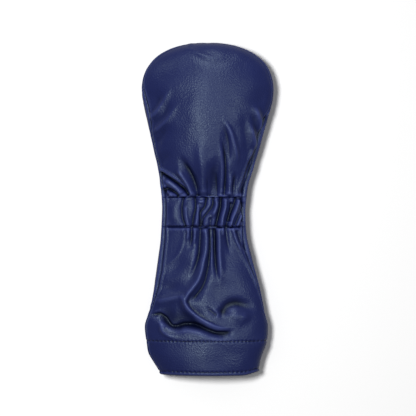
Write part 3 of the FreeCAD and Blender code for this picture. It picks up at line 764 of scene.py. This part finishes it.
def makeThread(name, values):
    material, tree = newMaterial(name)
    place = addNode(tree, "ShaderNodeTexCoord").outputs["Object"]
    plies = addNode(tree, "ShaderNodeTexWave", {"bands_direction": "DIAGONAL"}, Vector=place,
                    Scale=1 / (values["twist"] * mm))
    colour = addNode(tree, "ShaderNodeMix", {"data_type": "RGBA"}, Factor=plies.outputs["Fac"],
                     at6=linear(values["colour"]), at7=linear(values["ply"]))
    surface = addNode(tree, "ShaderNodeBump", Strength=0.6, Distance=values["plyDepth"] * mm,
                      Height=plies.outputs["Fac"])
    shader = addNode(tree, "ShaderNodeBsdfPrincipled", Base_Color=colour.outputs[2], Roughness=0.85,
                     IOR=1.35, Normal=surface.outputs[0])
    addNode(tree, "ShaderNodeOutputMaterial", Surface=shader.outputs[0])
    return material


coverLeather = makeLeather("navyCoatedLeather", leather)
insideMaterials = {name: makeInside(name, *values) for name, values in inside.items()}
threadMaterial = makeThread("spunPolyesterThread", thread)

# How far inside the leather's face each layer starts and ends, and where along the cover.
layers = {
    "foam": (1.5, 4.5), "tape": (1.5, 2.1), "elastic": (1.5, 2.7), "stiffener": (1.5, 2.0),
    "leatherThickness": 1.2, "liningThickness": 1.8,
    "headLining": 5.3, "neckLining": 3.5, "skirtLining": 2.9, "skirtEase": 22.0,
    "foamStart": neckHigh + 26.6, "foamReach": 0.96, "foamFromSeam": 5.3, "tapeHalf": 5.0,
    "stiffenerFromRim": 3.0, "liningFromRow": 0.3,
    "neckCloser": 0.6,          # the neck lining's mesh is finer, because it bends
    "crestCells": 5,             # how many cells round it a crest is compared with, for the painted highlight on crests and painted shade in hollows
}


def liningFace(y):
    # The lining lies deepest inside the padded head.
    toHead = smoothStep(neckHigh, layers["foamStart"], y)
    toSkirt = smoothStep(neckLow, neckLow - layers["skirtEase"], y)
    return (layers["neckLining"] + (layers["headLining"] - layers["neckLining"]) * toHead
            + (layers["skirtLining"] - layers["neckLining"]) * toSkirt)


def spread(values, cells):
    # The same values averaged with their neighbours on the grid, both ways.
    weights = np.bartlett(2 * cells + 3)[1:-1]
    weights /= weights.sum()
    for axis in (0, 1):
        wide = np.pad(values, [(cells, cells) if n == axis else (0, 0) for n in (0, 1)], mode="edge")
        values = np.apply_along_axis(np.convolve, axis, wide, weights, "valid")
    return values


def makeLayer(name, places, angles, outerInset, innerInset, material, wrap=False):
    across = np.broadcast_to(places[:, None], angles.shape)
    if wrap:
        angles, across = angles[:, :-1], across[:, :-1]
    relief = reliefAt(angles, across)
    outer = coverPoint(angles, across, outerInset + 0 * across, relief)
    inner = coverPoint(angles, across, innerInset + 0 * across, relief)
    piece = shell(name, outer, inner, material, wrap)
    if material is coverLeather:
        # relief and crest say where the leather is painted darker as shade and where crests are rubbed paler
        # and painted lighter as a highlight
        crest = relief - spread(relief, layers["crestCells"])
        for label, values in (("relief", relief), ("crest", crest)):
            attribute = piece.data.attributes.new(label, "FLOAT", "POINT")
            attribute.data.foreach_set("value", np.tile(values.reshape(-1), 2).astype(np.float32))
    closeUp(piece)
    return piece


print("leather")
hem = {
    "rimRadius": 1.75,          # of the fold where the leather turns in
    "turnSteps": 5,
    "turnedShare": 0.6,         # of its thickness where it turns
    "straightFrom": 1.2,        # in radii from the rim: the rows of the straight leather begin here
    "facingFrom": 1.0,          # from the rim to where the facing is full thickness
    "facingCoarser": 1.5,
}


def panelRows(low, high, spacing):
    # Rows of a panel with how far each sits inside the face; the skirt's leather turns in round the rim.
    places = rowPlaces(low, high, spacing)
    if low > rimPlace:
        return places, 0 * places
    radius = hem["rimRadius"]
    turn = np.linspace(0, math.pi / 2, hem["turnSteps"])[:-1]
    rolled = rimPlace + radius * (1 - np.cos(turn))
    straight = places[places > rimPlace + radius * hem["straightFrom"]]
    return np.concatenate([rolled, straight]), np.concatenate([radius * (1 - np.sin(turn)), 0 * straight])


zones = (("head", neckHigh, crownPlace), ("neck", neckLow, neckHigh), ("skirt", rimPlace, neckLow))
for zone, low, high in zones:
    for side, coarser in (("back", 1.0), ("front", cover["frontCoarser"])):
        spacing = (cover["neckGrid"] if zone == "neck" else cover["grid"]) * coarser
        places, inset = panelRows(low, high, spacing)
        angles = angleGrid(places, side, spacing)
        thickness = layers["leatherThickness"] * np.where(inset > 0, hem["turnedShare"], 1)
        piece = makeLayer("%s%sLeather" % (zone, side.title()), places, angles, inset[:, None],
                          (inset + thickness)[:, None], coverLeather)
        finishPiece(piece, "leather", "%s_%s_%s" % (zone, side, "casing" if zone == "neck" else "panel"))


print("padding and linings")
hidden = cover["hiddenGrid"]
foamTop = cover["crownFrom"] + (crownPlace - cover["crownFrom"]) * layers["foamReach"]
for side in ("back", "front"):
    places = rowPlaces(layers["foamStart"], foamTop, hidden)
    angles = angleGrid(places, side, hidden, layers["foamFromSeam"])
    piece = makeLayer("head%sFoam" % side.title(), places, angles, *layers["foam"],
                      insideMaterials["openCellFoam"])
    finishPiece(piece, "foam", "head_%s_padding" % side)

aboveHem = hemRow + layers["liningFromRow"]
for zone, low, high in (("head", neckHigh, crownPlace), ("skirt", aboveHem, neckLow)):
    for side, half in (("back", "upper"), ("front", "lower")):
        places = rowPlaces(low, high, hidden)
        angles = angleGrid(places, half, hidden)
        face = liningFace(places)[:, None]
        piece = makeLayer("%s%sLining" % (zone, side.title()), places, angles, face,
                          face + layers["liningThickness"], insideMaterials["brushedFleece"])
        finishPiece(piece, "fleece", "%s_%s_lining" % (zone, side))
closer = hidden * layers["neckCloser"]
places = rowPlaces(neckLow, neckHigh, closer)
face = liningFace(places)[:, None]
piece = makeLayer("neckLining", places, angleGrid(places, "loop", closer), face,
                  face + layers["liningThickness"], insideMaterials["brushedFleece"], wrap=True)
finishPiece(piece, "fleece", "neck_lining")


print("tapes, elastic and hem")


def joinPieces(name, pieces, material):
    work = bmesh.new()
    for piece in pieces:
        work.from_mesh(piece.data)
        bpy.data.objects.remove(piece)
    mesh = bpy.data.meshes.new(name)
    work.to_mesh(mesh)
    work.free()
    mesh.materials.append(material)
    return addObject(name, mesh)


for zone, low, high in (("head", neckHigh, foamTop), ("skirt", aboveHem, neckLow)):
    strips = []
    for side in ("right", "left"):
        places = rowPlaces(low, high, hidden)
        angles = angleGrid(places, side + "Tape", hidden, -layers["tapeHalf"])
        strips.append(makeLayer(side + "Strip", places, angles, *layers["tape"],
                                insideMaterials["wovenTape"]))
    tape = joinPieces(zone + "Tape", strips, insideMaterials["wovenTape"])
    finishPiece(tape, "seam_tape", zone + "_seam_tape")

elastic = {"margin": 2.25, "rows": 0.35, "columns": 1.6, "ribPitch": 1.4, "ribDepth": 0.12}
rib = elastic["ribDepth"]
places = rowPlaces(neckLow + elastic["margin"], neckHigh - elastic["margin"], elastic["rows"])
ribs = rib * np.sin(2 * math.pi * places / elastic["ribPitch"])[:, None]
face, back = layers["elastic"]
piece = makeLayer("neckElastic", places, angleGrid(places, "back", elastic["columns"]), face + rib + ribs,
                  back - rib - ribs, insideMaterials["knittedElastic"])
finishPiece(piece, "elastic", "elastic_band")

places = rowPlaces(rimPlace + layers["stiffenerFromRim"], hemRow, hidden)
piece = makeLayer("hemStiffener", places, angleGrid(places, "loop", hidden), *layers["stiffener"],
                  insideMaterials["polyesterFilm"], wrap=True)
finishPiece(piece, "stiffener", "hem_stiffener")


def makeFacing():
    # The hem's leather carries on round the rim and up inside, to the hem's stitching.
    radius, spacing = hem["rimRadius"], cover["grid"] * hem["facingCoarser"]
    turn = np.linspace(0, math.pi / 2, hem["turnSteps"])
    straight = rowPlaces(rimPlace + radius, hemRow, spacing)[1:]
    places = np.concatenate([rimPlace + radius * (1 - np.cos(turn)), straight])
    inner = np.concatenate([radius * (1 + np.sin(turn)), 2 * radius + 0 * straight])
    outer = inner - layers["leatherThickness"] * np.where(places > rimPlace + hem["facingFrom"], 1,
                                                          hem["turnedShare"])
    angles = angleGrid(places, "loop", spacing)
    piece = makeLayer("hemFacing", places, angles, outer[:, None], inner[:, None], coverLeather, wrap=True)
    finishPiece(piece, "leather", "hem_facing")


makeFacing()

print("stitching")


def stitchTree(material, values):
    # Stitches along a path, each a short rounded length of thread turned a little at random.
    tree = bpy.data.node_groups.new("stitchRow", "GeometryNodeTree")
    pitch, radius = values["hemPitch"] * mm, values["radius"] * mm
    for name, kind, start in (("Path", "Geometry", None), ("Pitch", "Float", pitch),
                              ("Length", "Float", pitch), ("Radius", "Float", radius), ("Seed", "Int", 3)):
        socket = tree.interface.new_socket(name, in_out="INPUT", socket_type="NodeSocket" + kind)
        if start is not None:
            socket.default_value = start
    tree.interface.new_socket("Stitches", in_out="OUTPUT", socket_type="NodeSocketGeometry")
    given = addNode(tree, "NodeGroupInput").outputs
    path = addNode(tree, "GeometryNodeMeshToCurve", Mesh=given["Path"])
    spots = addNode(tree, "GeometryNodeCurveToPoints", {"mode": "LENGTH"}, Curve=path.outputs[0],
                    Length=given["Pitch"])
    along = addNode(tree, "FunctionNodeAlignRotationToVector", {"axis": "X"}, Vector=spots.outputs["Tangent"])
    wobble = addNode(tree, "FunctionNodeRandomValue", {"data_type": "FLOAT_VECTOR"}, Seed=given["Seed"],
                     at0=[-turn for turn in values["wobble"]], at1=values["wobble"])
    turned = addNode(tree, "FunctionNodeRotateRotation", at0=along.outputs[0], at1=wobble.outputs[0])
    # a bead one unit across, drawn out to the stitch's length and thinned to twice its radius
    bead = addNode(tree, "GeometryNodeMeshUVSphere", Segments=8, Rings=6, Radius=0.5)
    size = addNode(tree, "ShaderNodeCombineXYZ", X=given["Length"], Y=given["Radius"], Z=given["Radius"])
    thick = addNode(tree, "ShaderNodeVectorMath", {"operation": "MULTIPLY"}, at0=size.outputs[0],
                    at1=(1, 2, 2))
    placed = addNode(tree, "GeometryNodeInstanceOnPoints", Points=spots.outputs["Points"],
                     Instance=bead.outputs[0], Rotation=turned.outputs[0], Scale=thick.outputs[0])
    real = addNode(tree, "GeometryNodeRealizeInstances", Geometry=placed.outputs[0])
    done = addNode(tree, "GeometryNodeSetMaterial", Geometry=real.outputs[0], Material=material)
    addNode(tree, "NodeGroupOutput", at0=done.outputs[0])
    return tree


def makeStitches(name, node, row, side, pitch, tree, seed):
    # A path just under the face of the leather, with a stitch laid along it at every pitch.
    free = thread["clearOfSeam"] if side == "back" else 0
    angles = angleGrid(np.array([row]), side, thread["pathStep"], free)[0]
    across, sunk = np.full(angles.shape, row), np.full(angles.shape, thread["sunk"])
    points = coverPoint(angles, across, sunk, reliefAt(angles, across)) * mm
    mesh = bpy.data.meshes.new(name + "Path")
    mesh.from_pydata([tuple(p) for p in points], [(n, n + 1) for n in range(len(points) - 1)], [])
    path = addObject(name + "Path", mesh)
    modifier = path.modifiers.new("stitches", "NODES")
    modifier.node_group = tree
    sockets = {item.name: item.identifier for item in tree.interface.items_tree if item.in_out == "INPUT"}
    modifier[sockets["Seed"]] = seed
    modifier[sockets["Pitch"]] = pitch * mm
    modifier[sockets["Length"]] = pitch * thread["share"] * mm
    depsgraph = bpy.context.evaluated_depsgraph_get()
    stitches = bpy.data.meshes.new_from_object(path.evaluated_get(depsgraph))
    bpy.data.objects.remove(path)
    stitches.polygons.foreach_set("use_smooth", np.ones(len(stitches.polygons), bool))
    finishPiece(addObject(name, stitches), "thread", node)


stitchRow = stitchTree(threadMaterial, thread)
for name, node, row, side, pitch, seed in (
        ("neckUpperStitches", "neck_upper_stitching", upperRow, "back", thread["neckPitch"], 9),
        ("neckLowerStitches", "neck_lower_stitching", lowerRow, "back", thread["neckPitch"], 9),
        ("hemUpperStitches", "hem_upper_stitching", hemRow, "loop", thread["hemPitch"], 8),
        ("hemLowerStitches", "hem_lower_stitching", rimRow, "loop", thread["rimPitch"], 8)):
    makeStitches(name, node, row, side, pitch, stitchRow, seed)


print("studio")
camera = {"distance": 1.9, "field": 0.416, "at": (0.0005, 0.001), "height": 0.022}


def makeCamera(values):
    # Straight above and far off, so that the cover shows with almost no perspective.
    data = bpy.data.cameras.new("camera")
    data.lens = data.sensor_width / 2 / (values["field"] / 2 / values["distance"])
    piece = addObject("camera", data)
    piece.location = (*values["at"], values["height"] + values["distance"])
    bpy.context.scene.camera = piece


lights = {
    "key": {"at": (-0.27, 0.04, 1.5), "size": 0.20, "power": 6.0},
    "low": {"at": (-0.26, -0.56, 1.44), "size": 0.34, "power": 1.5},
    "high": {"at": (0.05, 0.75, 1.35), "size": 0.60, "power": 3.8},
    "back": {"at": (0.0, 1.30, 0.90), "size": 0.70, "power": 7.3},
    "corner": {"at": (-0.98, 0.98, 0.80), "size": 0.50, "power": 1.5},
    "right": {"at": (0.66, 0.0, 1.45), "size": 0.38, "power": 3.1},
    "shadow": {"at": (-0.40, 0.17, 1.5), "size": 0.36, "power": 10.5},      # on the paper only
}

# The paper's own shade lights the cover from below; what the camera sees of it is plain white.
studio = {"sky": 0.13, "paper": 0.85, "paperSeen": 2.0, "paperEdge": 2000}


def makeLight(name, values):
    data = bpy.data.lights.new(name, "AREA")
    data.shape = "DISK"
    data.size = values["size"]
    data.energy = values["power"]
    piece = addObject(name, data)
    piece.location = values["at"]
    piece.rotation_euler = Vector(values["at"]).to_track_quat("Z", "Y").to_euler()
    return piece


def makeStudio(values):
    world = bpy.data.worlds.new("studio")
    bpy.context.scene.world = world
    world.use_nodes = True
    tree = world.node_tree
    tree.nodes.clear()
    ray = addNode(tree, "ShaderNodeLightPath")
    strength = addNode(tree, "ShaderNodeMapRange", Value=ray.outputs["Is Camera Ray"], at3=values["sky"],
                       at4=1.0)
    sky = addNode(tree, "ShaderNodeBackground", Color=(1, 1, 1, 1), Strength=strength.outputs[0])
    addNode(tree, "ShaderNodeOutputWorld", Surface=sky.outputs[0])
    material, tree = newMaterial("whitePaper")
    ray = addNode(tree, "ShaderNodeLightPath")
    tone = addNode(tree, "ShaderNodeMapRange", Value=ray.outputs["Is Camera Ray"], at3=values["paper"],
                   at4=values["paperSeen"])
    shown = addNode(tree, "ShaderNodeBsdfDiffuse", Color=tone.outputs[0])
    addNode(tree, "ShaderNodeOutputMaterial", Surface=shown.outputs[0])
    edge = values["paperEdge"]
    floor = meshObject("floor", [(-edge, -edge, 0), (edge, -edge, 0), (edge, edge, 0), (-edge, edge, 0)],
                       [(0, 1, 2, 3)], material)
    # one light draws the shadow on the paper and the others light the cover
    for name, light in lights.items():
        group = bpy.data.collections.new(name + "Paper")
        group.objects.link(floor)
        makeLight(name, light).light_linking.receiver_collection = group
        group.collection_objects[0].light_linking.link_state = "INCLUDE" if name == "shadow" else "EXCLUDE"


makeCamera(camera)
makeStudio(studio)
bpy.context.scene.view_settings.view_transform = "Standard"
